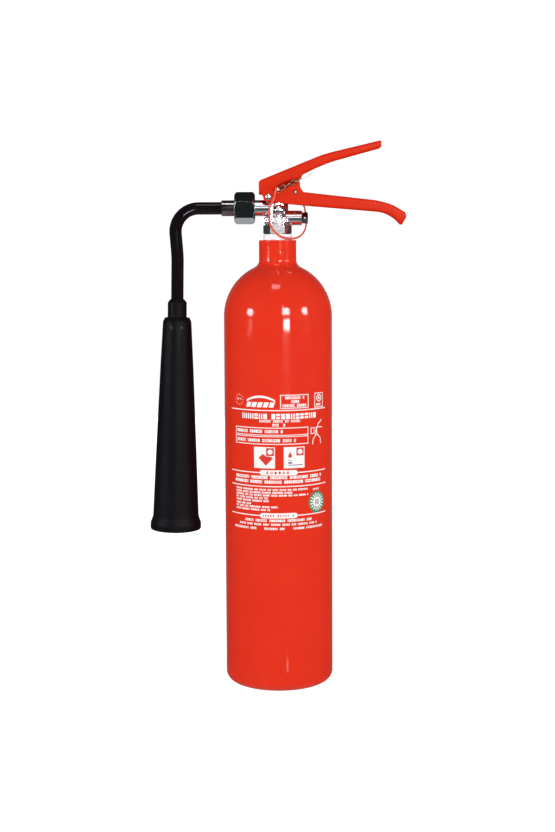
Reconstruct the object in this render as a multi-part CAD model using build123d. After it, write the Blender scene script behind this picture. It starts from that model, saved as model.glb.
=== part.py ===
"""Portable carbon dioxide fire extinguisher: steel cylinder, chrome squeeze valve, swan neck and horn.

Frame: origin on the cylinder's axis at the plane it stands on, +Z up, +X along the squeeze lever,
-X towards the discharge horn, -Y out of the label. All sizes are in millimetres. Screw threads are
plain cylinders with a small clearance. The contents, two kilograms of liquefied gas, aren't modelled.
"""
from build123d import *
import math
import os

# ---- driving dimensions -------------------------------------------------------------------------
THREAD_GAP = 0.05          # radial clearance of every screwed or running joint

# cylinder
CYL_R = 54.0               # outside radius
CYL_WALL = 3.4
BASE_ROUND = 9.0           # outside corner radius at the foot
FOOT_FLAT = 2.5            # width of the flat ring that it stands on
DISH_RISE = 13.0           # height of the concave base's middle
SHOULDER_Z = 368.8         # centre height of the round shoulder
NECK_R = 18.6
NECK_FILLET = 8.0
NECK_TOP = 444.5
NECK_BORE_R = 14.05

# label
LABEL_BOTTOM, LABEL_TOP = 161.9, 307.0
LABEL_HALF_ANGLE = 66.0    # degrees each side of the front
LABEL_THICK = 0.2

# valve
VALVE_THREAD_R = 14.0
VALVE_FOOT = 420.0         # lower end of the thread inside the neck
FLANGE_Z = (450.4, 459.5)
FLANGE_AC = 28.4           # across corners
MID_Z = (460.4, 467.9)
MID_R = 12.9
UPPER_R = 10.9
VALVE_TOP = 482.0          # shoulder that carries the handle
SPIGOT_R = 4.2
SPIGOT_TOP = 487.5
INLET_R = 7.0              # chamber under the seat
SEAT_Z = (468.3, 470.3)
CHAMBER_R = 4.6            # chamber over the seat
OUTLET_Z = 476.3           # height of the outlet's axis
OUTLET_R = 8.0
OUTLET_THREAD_R = 10.0
OUTLET_END = -33.5
OUTLET_BORE_R = 3.0
BURST_Z = 466.4            # height of the safety disc port's axis
BURST_R = 7.3
BURST_END = 24.6

# stem and spring
STEM_R = 2.0
STEM_TOP = 497.9
COLLAR_Z = (495.0, 495.8)
COLLAR_R = 4.2
SPRING_R = 3.3             # mean radius of the coil
SPRING_WIRE = 0.9
GLAND_TOP = 489.5

# handle and lever
PIVOT = (-8.7, 486.9)      # x, z of the lever's rivet
PIVOT_R = 2.5
PIN = (17.6, 491.5)        # x, z of the safety pin
PIN_R = 2.0
SHEET = 2.0                # sheet thickness of handle and lever
HANDLE_HALF = 13.0         # outside half width of the handle
LEVER_HALF = 10.5          # outside half width of the lever
PLATE_Z = (VALVE_TOP, VALVE_TOP + SHEET)
PAD_BOTTOM = 498.0         # underside of the pad that presses the stem

# union nut, ferrule and pipe
NUT_X = (-42.7, -22.2)
NUT_AF = 28.0              # across flats
NUT_TURN = 37.3            # rotation of the hexagon about X
NUT_LIP_X = -38.0
FERRULE_X = -55.7
FERRULE_R = 7.9
PIPE_R = 6.2
PIPE_BORE_R = 4.5
PIPE_START = -37.0
PIPE_POINTS = [(PIPE_START, OUTLET_Z), (-103.4, OUTLET_Z), (-99.7, 428.7), (-100.7, 372.0)]
PIPE_RADII = [23.0, 120.0]

# horn, in its own frame: z measured along its axis, from the lower end of the pipe
HORN_TILT = 0.98           # degrees, mouth outwards
HORN_TOP = -4.0
HORN_WALL = 2.2
HORN_OUTER = [(14.2, -8.0), (16.4, -50.8), (20.0, -131.7), (23.0, -203.0)]
LIP_R = 25.5
LIP_TOP, LIP_END = -211.0, -218.4
COLLAR_TOP = 18.0
COLLAR_OUTER_R = 9.5
PLUG_R = 11.5
PLUG_END = -24.0


# ---- helpers ------------------------------------------------------------------------------------
def outline(*points):
    """Face in the XZ plane inside a closed outline of (x, z) points."""
    return Plane.XZ * make_face(Polyline(*points, close=True))


def turned(*points):
    """Solid turned about the Z axis from (radius, z) points."""
    return revolve(outline(*points), Axis.Z)


def turned_x(z, *points):
    """Solid turned about a line along X at height z, from (x, radius) points."""
    raised = [(x, z + r) for x, r in points]
    return revolve(outline(*raised), Axis((0, 0, z), (1, 0, 0)))


def slab(face, y_low, y_high):
    """An XZ face given thickness from one Y to another."""
    half = (y_high - y_low) / 2
    return Pos(0, (y_low + y_high) / 2, 0) * extrude(face, amount=half, both=True)


def rod_y(x, z, radius, y_low, y_high):
    """Round bar along Y."""
    bar = Cylinder(radius, y_high - y_low, rotation=(90, 0, 0))
    return Pos(x, (y_low + y_high) / 2, z) * bar


def rod_z(radius, z_low, z_high, x=0.0, y=0.0):
    """Round bar along Z."""
    return Pos(x, y, (z_low + z_high) / 2) * Cylinder(radius, z_high - z_low)


def rod_x(z, radius, x_low, x_high):
    """Round bar along X in the plane of symmetry."""
    bar = Cylinder(radius, x_high - x_low, rotation=(0, 90, 0))
    return Pos((x_low + x_high) / 2, 0, z) * bar


def ring_z(outer, inner, z_low, z_high):
    return rod_z(outer, z_low, z_high) - rod_z(inner, z_low - 1, z_high + 1)


def hex_x(z, across_flats, x_low, x_high, turn, chamfer_depth, rim):
    """Hexagon bar along X with its corners turned off at both ends, down to a rim radius."""
    corner = across_flats / math.sqrt(3)
    prism = extrude(Plane.YZ * RegularPolygon(corner, 6, rotation=turn), x_high - x_low)
    blank = turned_x(z, (x_low, 0), (x_low, rim), (x_low + chamfer_depth, corner + 0.1),
                     (x_high - chamfer_depth, corner + 0.1), (x_high, rim), (x_high, 0))
    return Pos(x_low, 0, z) * prism & blank


def hex_z(corner, z_low, z_high, turn, chamfer_depth):
    """Hexagon bar along Z with its corners turned off at both ends."""
    prism = Pos(0, 0, z_low) * extrude(RegularPolygon(corner, 6, rotation=turn), z_high - z_low)
    rim = corner - 2.0 * chamfer_depth
    blank = turned((0, z_low), (rim, z_low), (corner + 0.1, z_low + chamfer_depth),
                   (corner + 0.1, z_high - chamfer_depth), (rim, z_high), (0, z_high))
    return prism & blank


def corner_radii(points, share=0.45):
    """Largest smooth radius at each inner point of a route: a share of its shorter run."""
    radii = []
    for before, here, after in zip(points, points[1:], points[2:]):
        run_in = Vector(*here) - Vector(*before)
        run_out = Vector(*after) - Vector(*here)
        half_turn = math.radians(run_in.get_angle(run_out)) / 2
        radii.append(share * min(run_in.length, run_out.length) / math.tan(half_turn))
    return radii


def wire_along(points, radius):
    """Round wire of straight runs and tangent arcs."""
    path = FilletPolyline(*points, radius=corner_radii(points))
    start = Plane(origin=path @ 0, z_dir=path % 0)
    return sweep(start * Circle(radius), path=path)


# ---- cylinder -----------------------------------------------------------------------------------
def shell_section():
    """Half section of the cylinder, from the axis of the base to the neck's bore."""
    foot_in = CYL_R - BASE_ROUND - FOOT_FLAT
    dish_r = (foot_in ** 2 + DISH_RISE ** 2) / (2 * DISH_RISE)
    dish_z = DISH_RISE - dish_r
    inner_r = CYL_R - CYL_WALL
    knuckle = BASE_ROUND - CYL_WALL
    fillet_x = NECK_R + NECK_FILLET
    fillet_z = SHOULDER_Z + math.sqrt((CYL_R + NECK_FILLET) ** 2 - fillet_x ** 2)
    lean = math.degrees(math.atan2(fillet_z - SHOULDER_Z, fillet_x))
    dish_end = math.degrees(math.asin(foot_in / dish_r))
    bore_angle = math.degrees(math.acos(NECK_BORE_R / inner_r))
    bore_z = SHOULDER_Z + math.sqrt(inner_r ** 2 - NECK_BORE_R ** 2)
    centre_in = (0, dish_z + dish_r + CYL_WALL)
    floor_arc = CenterArc((0, dish_z), dish_r + CYL_WALL, 90, -(dish_end - 1.5))
    edges = [
        CenterArc((0, dish_z), dish_r, 90, -dish_end),
        Line((foot_in, 0), (foot_in + FOOT_FLAT, 0)),
        CenterArc((CYL_R - BASE_ROUND, BASE_ROUND), BASE_ROUND, -90, 90),
        Line((CYL_R, BASE_ROUND), (CYL_R, SHOULDER_Z)),
        CenterArc((0, SHOULDER_Z), CYL_R, 0, lean),
        CenterArc((fillet_x, fillet_z), NECK_FILLET, 180 + lean, -lean),
        Line((NECK_R, fillet_z), (NECK_R, NECK_TOP)),
        Line((NECK_R, NECK_TOP), (NECK_BORE_R, NECK_TOP)),
        Line((NECK_BORE_R, NECK_TOP), (NECK_BORE_R, bore_z)),
        CenterArc((0, SHOULDER_Z), inner_r, 0, bore_angle),
        Line((inner_r, SHOULDER_Z), (inner_r, BASE_ROUND)),
        CenterArc((CYL_R - BASE_ROUND, BASE_ROUND), knuckle, -90, 90),
        Line((CYL_R - BASE_ROUND, CYL_WALL), floor_arc @ 1),
        floor_arc,
        Line(centre_in, (0, DISH_RISE)),
    ]
    return Plane.XZ * make_face(edges)


def cylinder_shell():
    """Drawn steel shell, with a shallow panel in front that the label lies in."""
    return revolve(shell_section(), Axis.Z) - label_sheet()


def label_sheet():
    """Printed sheet that wraps the front of the cylinder, flush with its wall."""
    side = LABEL_TOP - LABEL_BOTTOM
    ring = Pos(0, 0, LABEL_BOTTOM + side / 2) * (
        Cylinder(CYL_R, side) - Cylinder(CYL_R - LABEL_THICK, side + 1))
    reach = 3 * CYL_R
    edge = math.radians(LABEL_HALF_ANGLE)
    corner = (reach * math.sin(edge), -reach * math.cos(edge))
    wedge = make_face(Polyline((0, 0), corner, (0, -2 * reach), (-corner[0], corner[1]), close=True))
    return ring & Pos(0, 0, LABEL_BOTTOM - 1) * extrude(wedge, side + 2)


# ---- valve --------------------------------------------------------------------------------------
def valve_body():
    lower = turned((0, VALVE_FOOT), (VALVE_THREAD_R - 1, VALVE_FOOT), (VALVE_THREAD_R, VALVE_FOOT + 1),
                   (VALVE_THREAD_R, FLANGE_Z[0]), (0, FLANGE_Z[0]))
    flange = hex_z(FLANGE_AC / 2, FLANGE_Z[0], FLANGE_Z[1], 0, 0.9)
    waist = rod_z(12.2, FLANGE_Z[1], MID_Z[0])
    middle = turned((0, MID_Z[0]), (MID_R - 0.5, MID_Z[0]), (MID_R, MID_Z[0] + 0.5),
                    (MID_R, MID_Z[1] - 1.2), (MID_R - 1.2, MID_Z[1]), (0, MID_Z[1]))
    upper = turned((0, MID_Z[1]), (UPPER_R, MID_Z[1]), (UPPER_R, VALVE_TOP - 1),
                   (UPPER_R - 1, VALVE_TOP), (0, VALVE_TOP))
    spigot = rod_z(SPIGOT_R, VALVE_TOP, SPIGOT_TOP)
    dome = Pos(1.5, -7.5, 474.0) * Sphere(6.4)
    outlet = turned_x(OUTLET_Z, (OUTLET_END, 0), (OUTLET_END, OUTLET_THREAD_R - 1),
                      (OUTLET_END + 1, OUTLET_THREAD_R), (-23.0, OUTLET_THREAD_R),
                      (-22.2, OUTLET_R), (-8.2, OUTLET_R), (-8.2, 0))
    port = turned_x(BURST_Z, (5, 0), (5, BURST_R), (BURST_END - 0.8, BURST_R),
                    (BURST_END, BURST_R - 0.8), (BURST_END, 0))
    body = lower + flange + waist + middle + upper + spigot + dome + outlet + port
    body -= rod_z(INLET_R, VALVE_FOOT - 1, SEAT_Z[1])
    body -= rod_z(3.4, SEAT_Z[1] - 1, SEAT_Z[1] + 2.2)
    body -= rod_z(CHAMBER_R, SEAT_Z[1] + 2.0, VALVE_TOP - 1)
    body -= rod_z(STEM_R + THREAD_GAP, VALVE_TOP - 2, SPIGOT_TOP)
    body -= rod_z(3.2, SPIGOT_TOP - 1.8, SPIGOT_TOP + 1)
    body -= rod_x(OUTLET_Z, OUTLET_BORE_R, OUTLET_END - 1, 0)
    body -= rod_x(BURST_Z, 1.8, 3, 18)
    body -= rod_x(BURST_Z, 4.2, 17, BURST_END + 1)
    return body


def ptfe_tape():
    """Sealing tape wound on the thread that shows above the neck."""
    return ring_z(VALVE_THREAD_R + 0.5, VALVE_THREAD_R, NECK_TOP, FLANGE_Z[0])


def dip_tube():
    foot = 22.0
    tube = ring_z(5.0, 3.5, foot, VALVE_FOOT + 8)
    cut = Pos(0, 0, foot) * Rot(0, 35, 0) * Box(30, 30, 8)
    return tube - cut


def dip_tube_nut():
    return ring_z(INLET_R - THREAD_GAP, 5.0 + THREAD_GAP, VALVE_FOOT + 0.5, VALVE_FOOT + 8)


def valve_seat():
    return ring_z(INLET_R - THREAD_GAP, 3.2, SEAT_Z[0], SEAT_Z[1])


def valve_stem():
    """Push rod with a domed top, a collar for the spring and a head under the poppet."""
    centre = STEM_TOP - STEM_R
    rod = rod_z(STEM_R, 463.0, centre) + Pos(0, 0, centre) * Sphere(STEM_R)
    head = rod_z(3.2, 462.2, 463.4)
    collar = rod_z(COLLAR_R, COLLAR_Z[0], COLLAR_Z[1])
    return rod + head + collar


def valve_poppet():
    return turned((STEM_R, 463.4), (4.6, 463.4), (5.4, 464.4), (5.4, 467.2), (4.4, 468.2), (STEM_R, 468.2))


def return_spring():
    """Closed coil spring between the gland nut and the stem's collar."""
    low = GLAND_TOP + SPRING_WIRE / 2
    high = COLLAR_Z[0] - SPRING_WIRE / 2
    turns = 3.5
    path = Pos(0, 0, low) * Helix(pitch=(high - low) / turns, height=high - low, radius=SPRING_R)
    section = Plane(origin=path @ 0, z_dir=path % 0) * Circle(SPRING_WIRE / 2)
    return sweep(section, path=path, is_frenet=True)


def stem_o_ring():
    middle_r = (STEM_R + 3.2) / 2
    section = Plane.XZ * Pos(middle_r, SPIGOT_TOP - 0.9) * Circle(0.55)
    return revolve(section, Axis.Z)


def gland_nut():
    """Small nut that clamps the handle on the valve and closes the stem's gland."""
    nut = hex_z(11.0 / math.sqrt(3), PLATE_Z[1], GLAND_TOP, 30, 0.5)
    nut -= rod_z(SPIGOT_R + THREAD_GAP, PLATE_Z[1] - 1, SPIGOT_TOP)
    return nut - rod_z(STEM_R + THREAD_GAP, SPIGOT_TOP - 1, GLAND_TOP + 1)


def burst_disc():
    return rod_x(BURST_Z, 4.15, 17.0, 17.3)


def burst_washer():
    return rod_x(BURST_Z, 4.15, 17.3, 18.3) - rod_x(BURST_Z, 2.0, 17, 19)


def burst_plug():
    """Hollow screw over the safety disc, with cross holes that let the gas out both ways."""
    across_flats, rim = 11.0, 5.35
    shank = rod_x(BURST_Z, 4.15, 18.3, BURST_END + 0.3)
    head = hex_x(BURST_Z, across_flats, BURST_END + 0.2, 30.3, 0, 0.5, rim)
    plug = shank + head - rod_x(BURST_Z, 1.8, 18, 28.6)
    return plug - rod_y(27.4, BURST_Z, 0.9, -8, 8)


# ---- handle and lever ---------------------------------------------------------------------------
# Outlines in the XZ plane: x, z and the rounding radius of each corner.
EAR_ROOT = [(-12.6, 482.9, 1.5), (-15.2, 489.6, 3.0), (-15.2, 493.5, 2.0), (-5.6, 493.5, 6.0)]
EAR_END = [(22.6, 496.4, 2.0), (25.8, 491.75, 2.0), (32.0, 491.06, 0), (32.0, 478.3, 0), (24.0, 478.9, 0)]
FRONT_EAR = [*EAR_ROOT, (0.4, 491.1, 5.0), (10.2, 496.6, 20.0), (22.3, 501.9, 0.6), *EAR_END]
REAR_EAR = [*EAR_ROOT, (-1.5, 495.5, 3.0), (8.0, 502.6, 12.0), (22.3, 505.0, 1.5), *EAR_END]
GRIP_TOP = [(29.0, 491.41, 0), (98.0, 483.4, 60.0), (113.5, 479.2, 40.0), (126.9, 471.0, 3.5),
            (127.4, 466.6, 1.0), (122.9, 458.9, 0.6)]
GRIP_LOW = [(116.0, 466.0, 30.0), (105.5, 471.7, 30.0), (29.0, 478.4, 0)]
GRIP_FLOOR = [(20.0, 481.2), (106.1, 473.7), (117.2, 467.6), (125.7, 458.8)]
GRIP_FLOOR_R = 28.0
LEVER_TOP = [(-18.4, 489.6, 0.6), (-18.4, 503.1, 4.0), (46.2, 529.1, 130.0), (102.9, 542.4, 1.5),
             (102.9, 535.1, 2.5)]
LEVER_LOW = [
    (53.0, 521.6, 120.0), (38.0, 515.4, 90.0), (25.4, 509.3, 3.0), (22.5, 502.9, 0.6),
    (15.0, 503.3, 15.0), (7.0, 500.6, 12.0), (1.2, 497.2, 5.0), (-1.9, 491.6, 5.0),
    (-5.6, 484.6, 0), (-13.0, 486.0, 0), (-14.4, 489.6, 0),
]
LEVER_ROOF = [(-16.4, 501.8), (46.8, 527.2), (100.9, 539.9)]
LEVER_ROOF_R = [2.0, 128.0]
BEND_R = 2.6               # outside radius where the sheet is bent
BEND_INNER_R = 0.8


def rounded(corners):
    """Face in the XZ plane with each corner rounded by its own radius."""
    points = [(x, z) for x, z, _ in corners]
    radii = [r for _, _, r in corners]
    return Plane.XZ * make_face(FilletPolyline(*points, radius=radii, close=True))


def edges_along(solid, y, corners):
    """Edges of a slab's face at +y or -y that follow a run of rounded corners."""
    points = [(x, z) for x, z, _ in corners]
    run = Plane.XZ * FilletPolyline(*points, radius=[r for _, _, r in corners[1:-1]])
    found = []
    for edge in solid.edges():
        middle = edge @ 0.5
        if abs(abs(middle.Y) - y) < 0.01 and run.distance_to(Vector(middle.X, 0, middle.Z)) < 0.02:
            found.append(edge)
    return found


def carrying_handle():
    """Channel with its back below: two ears hold the lever and the pin, the rest is the hand grip.

    The rear ear stands higher than the front one and closes the gap under the lever.
    """
    inner = HANDLE_HALF - SHEET
    grip = slab(rounded(GRIP_TOP + GRIP_LOW), -HANDLE_HALF, HANDLE_HALF)
    back = [GRIP_TOP[-1], *GRIP_LOW]
    grip = fillet(edges_along(grip, HANDLE_HALF, back), BEND_R)
    floor = FilletPolyline(*GRIP_FLOOR, radius=GRIP_FLOOR_R)
    lid = Polyline(floor @ 1, (140, 459), (140, 530), (20, 530), floor @ 0)
    channel = slab(Plane.XZ * make_face([*floor.edges(), *lid.edges()]), -inner, inner)
    channel = fillet(edges_along(channel, inner, [(x, z, GRIP_FLOOR_R) for x, z in GRIP_FLOOR]),
                     BEND_INNER_R)
    handle = grip - channel
    for ear, y_low in ((FRONT_EAR, -HANDLE_HALF), (REAR_EAR, inner)):
        handle += slab(rounded(ear), y_low, y_low + SHEET)
    plate = Pos(7.5, 0, sum(PLATE_Z) / 2) * Box(17, 2 * inner + 1, SHEET)
    tongue = Pos(-3.5, 0, sum(PLATE_Z) / 2) * Box(9, 16.4, SHEET)
    handle += plate + tongue
    handle -= rod_z(SPIGOT_R + THREAD_GAP, PLATE_Z[0] - 1, PLATE_Z[1] + 1)
    handle -= rod_y(PIVOT[0], PIVOT[1], PIVOT_R, -HANDLE_HALF - 1, HANDLE_HALF + 1)
    handle -= rod_y(PIN[0], PIN[1], PIN_R + THREAD_GAP, -HANDLE_HALF - 1, HANDLE_HALF + 1)
    return handle


def squeeze_lever():
    """Channel with its back above, hinged on the rivet between the handle's ears."""
    whole = slab(rounded(LEVER_TOP + LEVER_LOW), -LEVER_HALF, LEVER_HALF)
    whole = fillet(edges_along(whole, LEVER_HALF, LEVER_TOP), BEND_R)
    whole += rod_y(PIVOT[0], PIVOT[1], 4.4, -LEVER_HALF, LEVER_HALF)
    inner = LEVER_HALF - SHEET
    roof = FilletPolyline((-16.4, 480.0), *LEVER_ROOF, (100.9, 480.0), radius=LEVER_ROOF_R + [0.5])
    hollow_face = Plane.XZ * make_face([*roof.edges(), Line((100.9, 480.0), (-16.4, 480.0))])
    lever = whole - slab(hollow_face, -inner, inner)
    return lever - rod_y(PIVOT[0], PIVOT[1], PIVOT_R + THREAD_GAP, -20, 20)


def lever_pad():
    """Block welded between the lever's cheeks, which presses the stem."""
    inner = LEVER_HALF - SHEET
    return slab(outline((-4.5, PAD_BOTTOM), (5.0, PAD_BOTTOM), (5.0, 504.5), (-4.5, 504.5)), -inner, inner)


def pivot_rivet():
    head_r, head_h = 3.3, 1.3
    shank = rod_y(PIVOT[0], PIVOT[1], PIVOT_R, -HANDLE_HALF, HANDLE_HALF)
    cap_r = (head_r ** 2 + head_h ** 2) / (2 * head_h)
    for side in (-1, 1):
        seat = side * HANDLE_HALF
        ball = Pos(PIVOT[0], seat - side * (cap_r - head_h), PIVOT[1]) * Sphere(cap_r)
        keep = Pos(PIVOT[0], seat + side * 2, PIVOT[1]) * Box(10, 4, 10)
        shank += ball & keep
    return shank


# ---- safety pin, ring, seal and chain -----------------------------------------------------------
EYE_Y = 18.6               # centre of the pin's eye
RING_R = 10.0


def safety_pin():
    """Pin with a rounded tip in front and an eye behind."""
    shaft = rod_y(PIN[0], PIN[1], PIN_R, -13.4, EYE_Y - 3.4)
    tip = Pos(PIN[0], -13.4, PIN[1]) * Sphere(PIN_R)
    eye = Pos(PIN[0], EYE_Y, PIN[1]) * Torus(2.9, 1.2)
    return shaft + tip + eye


def pull_ring():
    return Pos(PIN[0] - RING_R, EYE_Y, PIN[1]) * Torus(RING_R, 1.0, rotation=(90, 0, 0))


def tamper_seal():
    """Moulded strap looped through the ears, round the front of the valve and behind the plug."""
    route = [
        (-0.6, -12.0, 495.3), (-1.2, -14.9, 494.6), (-3.0, -15.0, 486.8), (-6.4, -15.4, 478.8),
        (-8.0, -16.0, 471.3), (-7.8, -16.4, 463.6), (-4.6, -16.8, 454.9), (2.4, -16.3, 448.6),
        (10.6, -13.2, 446.2), (18.4, -7.6, 446.6), (24.2, -2.6, 449.9), (27.8, 2.4, 455.9),
        (28.8, 6.8, 463.2), (28.3, 8.6, 470.6), (26.6, 7.0, 478.2), (23.6, 4.4, 484.2),
    ]
    return wire_along(route, 0.95)


def seal_wire():
    """Thin wire from the chain's last link, with its free end out of the slot."""
    route = [(19.4, -14.9, 501.6), (23.0, -14.6, 503.3), (29.3, -14.0, 506.2), (35.7, -13.6, 510.8)]
    return wire_along(route, 0.3)


def pin_chain():
    """Chain of oval links lying on the edge of the front ear, each turned a quarter from the last."""
    wire, half_length, half_width = 0.6, 3.6, 1.65
    path = SlotCenterToCenter(2 * (half_length - half_width), 2 * half_width).face().outer_wire()
    section = Plane(origin=path @ 0, z_dir=path % 0) * Circle(wire)
    link = sweep(section, path=path)
    pitch = 2 * (half_length - wire) - 0.1
    start, slope = Vector(4.5, -13.6, 495.7), math.radians(26.0)
    links = Part()
    for index in range(4):
        centre = start + Vector(math.cos(slope), 0, math.sin(slope)) * (pitch * index)
        roll = 90 if index % 2 == 0 else 0
        links += Location(centre) * Rot(0, -math.degrees(slope), 0) * Rot(roll, 0, 0) * link
    return links


# ---- union nut, ferrule, pipe -------------------------------------------------------------------
def union_nut():
    nut = hex_x(OUTLET_Z, NUT_AF, NUT_X[0], NUT_X[1], NUT_TURN, 2.3, NUT_AF / 2 - 0.2)
    nut -= rod_x(OUTLET_Z, OUTLET_THREAD_R + THREAD_GAP, NUT_LIP_X, NUT_X[1] + 1)
    return nut - rod_x(OUTLET_Z, FERRULE_R + THREAD_GAP, NUT_X[0] - 1, NUT_LIP_X + 1)


def outlet_seal_ring():
    return rod_x(OUTLET_Z, 9.5, OUTLET_END - 1.4, OUTLET_END) - rod_x(OUTLET_Z, 4.6, -36, -30)


def pipe_ferrule():
    """Flanged sleeve brazed on the pipe; its flange is held by the union nut and can turn."""
    ferrule = turned_x(OUTLET_Z, (FERRULE_X, PIPE_R), (FERRULE_X, FERRULE_R - 0.8),
                       (FERRULE_X + 0.8, FERRULE_R), (NUT_LIP_X + 0.1, FERRULE_R),
                       (NUT_LIP_X + 0.1, 9.6), (-35.0, 9.6), (-35.0, PIPE_R))
    return ferrule


def discharge_pipe():
    points = [(x, 0, z) for x, z in PIPE_POINTS]
    path = FilletPolyline(*points, radius=PIPE_RADII)
    start = Plane(origin=path @ 0, z_dir=path % 0)
    return sweep(start * (Circle(PIPE_R) - Circle(PIPE_BORE_R)), path=path)


# ---- horn ---------------------------------------------------------------------------------------
def on_horn_axis(shape):
    """Moves a shape from the horn's own frame to the lower end of the pipe."""
    end_x, end_z = PIPE_POINTS[-1]
    return Location((end_x, 0, end_z)) * Rot(0, HORN_TILT, 0) * shape


def horn_collar():
    """Grip and clamp between pipe and horn, with a plug that the horn's screws bite into."""
    neck = PIPE_R + 0.7
    shape = turned((0, COLLAR_TOP), (neck, COLLAR_TOP), (COLLAR_OUTER_R, COLLAR_TOP - 7.6),
                   (COLLAR_OUTER_R, HORN_TOP - 2), (PLUG_R, HORN_TOP - 2), (PLUG_R, PLUG_END),
                   (0, PLUG_END))
    shape -= rod_z(PIPE_R, 0, COLLAR_TOP + 1)
    shape -= rod_z(4.0, PLUG_END - 1, 1)
    return on_horn_axis(shape)


def discharge_horn():
    """Long cone, open at the mouth, with a thick rolled lip."""
    outer = [(r, z) for r, z in HORN_OUTER]
    inner = [(r - HORN_WALL, z) for r, z in reversed(HORN_OUTER)]
    inner[-1] = (12.2, PLUG_END - 4)
    section = [
        (COLLAR_OUTER_R + 0.05, HORN_TOP), (11.4, HORN_TOP - 0.6), (13.2, HORN_TOP - 2.0),
        *outer, (LIP_R - 1.0, LIP_TOP + 1.0), (LIP_R, LIP_TOP - 0.6), (LIP_R, LIP_END + 2.4),
        (LIP_R - 0.9, LIP_END + 0.6), (LIP_R - 2.4, LIP_END), (LIP_R - 3.4, LIP_END + 0.6),
        *inner, (PLUG_R + 0.05, PLUG_END), (PLUG_R + 0.05, HORN_TOP - 2),
        (COLLAR_OUTER_R + 0.05, HORN_TOP - 2),
    ]
    return on_horn_axis(turned(*section))


def jet_nozzle():
    """Nozzle pressed into the collar's plug, which throws the gas down the horn."""
    shape = turned((1.6, PLUG_END - 8), (3.0, PLUG_END - 8), (4.0, PLUG_END - 6), (6.0, PLUG_END - 6),
                   (6.0, PLUG_END), (4.0, PLUG_END), (4.0, -8), (1.6, -8))
    return on_horn_axis(shape)


SCREW_Z = -13.5
SCREW_ANGLE = 20.0


def screw_at(angle, reach=0.0):
    """Space of one horn screw: shank and pan head, radial, at an angle from the front."""
    shank = Pos(0, 0, 11.6) * Cylinder(1.2 + reach, 6.0)
    head = Pos(0, 0, 14.9) * Cylinder(1.9 + reach, 1.0)
    return Pos(0, 0, SCREW_Z) * Rot(0, 0, angle) * Rot(90, 0, 0) * (shank + head)


def horn_screws():
    screws = Part()
    for angle in (-SCREW_ANGLE, SCREW_ANGLE):
        screws += on_horn_axis(screw_at(angle))
    return screws


def screw_holes():
    holes = Part()
    for angle in (-SCREW_ANGLE, SCREW_ANGLE):
        holes += on_horn_axis(screw_at(angle, THREAD_GAP))
    return holes


# ---- assembly -----------------------------------------------------------------------------------
NODES = {
    "cylinder_shell": cylinder_shell, "label_sheet": label_sheet, "valve_body": valve_body,
    "ptfe_tape": ptfe_tape, "dip_tube": dip_tube, "dip_tube_nut": dip_tube_nut,
    "valve_seat": valve_seat, "valve_stem": valve_stem, "valve_poppet": valve_poppet,
    "return_spring": return_spring, "stem_o_ring": stem_o_ring, "gland_nut": gland_nut,
    "burst_disc": burst_disc, "burst_washer": burst_washer, "burst_plug": burst_plug,
    "carrying_handle": carrying_handle, "squeeze_lever": squeeze_lever, "lever_pad": lever_pad,
    "pivot_rivet": pivot_rivet, "safety_pin": safety_pin, "pull_ring": pull_ring,
    "tamper_seal": tamper_seal, "seal_wire": seal_wire, "pin_chain": pin_chain,
    "union_nut": union_nut, "outlet_seal_ring": outlet_seal_ring, "pipe_ferrule": pipe_ferrule,
    "discharge_pipe": discharge_pipe, "jet_nozzle": jet_nozzle, "horn_screws": horn_screws,
}


def main():
    os.makedirs("parts", exist_ok=True)
    parts = {name: make() for name, make in NODES.items()}
    parts["horn_collar"] = horn_collar() - screw_holes()
    parts["discharge_horn"] = discharge_horn() - screw_holes()
    for name, shape in parts.items():
        export_step(shape, f"parts/{name}.step")
        print(f"{name:20s} {len(shape.solids())} solid(s) {shape.volume:12.1f} mm3")


main()
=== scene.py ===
"""Looks of a portable carbon dioxide fire extinguisher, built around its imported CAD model.

Frame: origin on the cylinder's axis at the plane it stands on, +Z up, +X along the squeeze lever,
-X towards the horn, -Y out of the label. Shapes are worked out in millimetres and stored in metres.
"""

import math
import random

import bmesh
import bpy
from mathutils import Matrix, Vector


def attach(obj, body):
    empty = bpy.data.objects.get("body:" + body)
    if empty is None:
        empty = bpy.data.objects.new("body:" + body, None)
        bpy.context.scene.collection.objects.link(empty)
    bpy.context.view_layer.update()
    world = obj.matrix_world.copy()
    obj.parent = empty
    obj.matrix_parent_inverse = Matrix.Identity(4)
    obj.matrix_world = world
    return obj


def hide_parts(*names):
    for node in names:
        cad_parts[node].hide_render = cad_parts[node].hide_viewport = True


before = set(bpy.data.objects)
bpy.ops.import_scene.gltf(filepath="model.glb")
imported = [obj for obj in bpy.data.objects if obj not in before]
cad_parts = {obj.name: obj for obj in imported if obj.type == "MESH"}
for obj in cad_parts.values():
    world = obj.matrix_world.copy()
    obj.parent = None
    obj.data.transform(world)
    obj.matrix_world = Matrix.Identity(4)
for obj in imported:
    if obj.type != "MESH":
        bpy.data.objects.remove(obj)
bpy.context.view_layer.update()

MM = 0.001
FRONT = -math.pi / 2          # angle about Z of the label's middle

# cylinder
CYL_R = 54.0
CYL_WALL = 3.4
BASE_ROUND = 9.0
FOOT_FLAT = 2.5
DISH_RISE = 13.0
SHOULDER_Z = 368.8
NECK_R = 18.6
NECK_FILLET = 8.0
NECK_TOP = 444.5
NECK_BORE_R = 14.05

# valve, nut, pipe
FLANGE_FOOT = 450.4
KNURL_R = 12.95
KNURL_Z = (462.6, 466.6)
OUTLET_Z = 476.3
PIPE_R = 6.2
PIPE_BORE_R = 4.5
PIPE_ROUTE = [(-37.0, OUTLET_Z, 0), (-103.4, OUTLET_Z, 23.0), (-99.7, 428.7, 120.0), (-100.7, 372.0, 0)]

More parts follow.
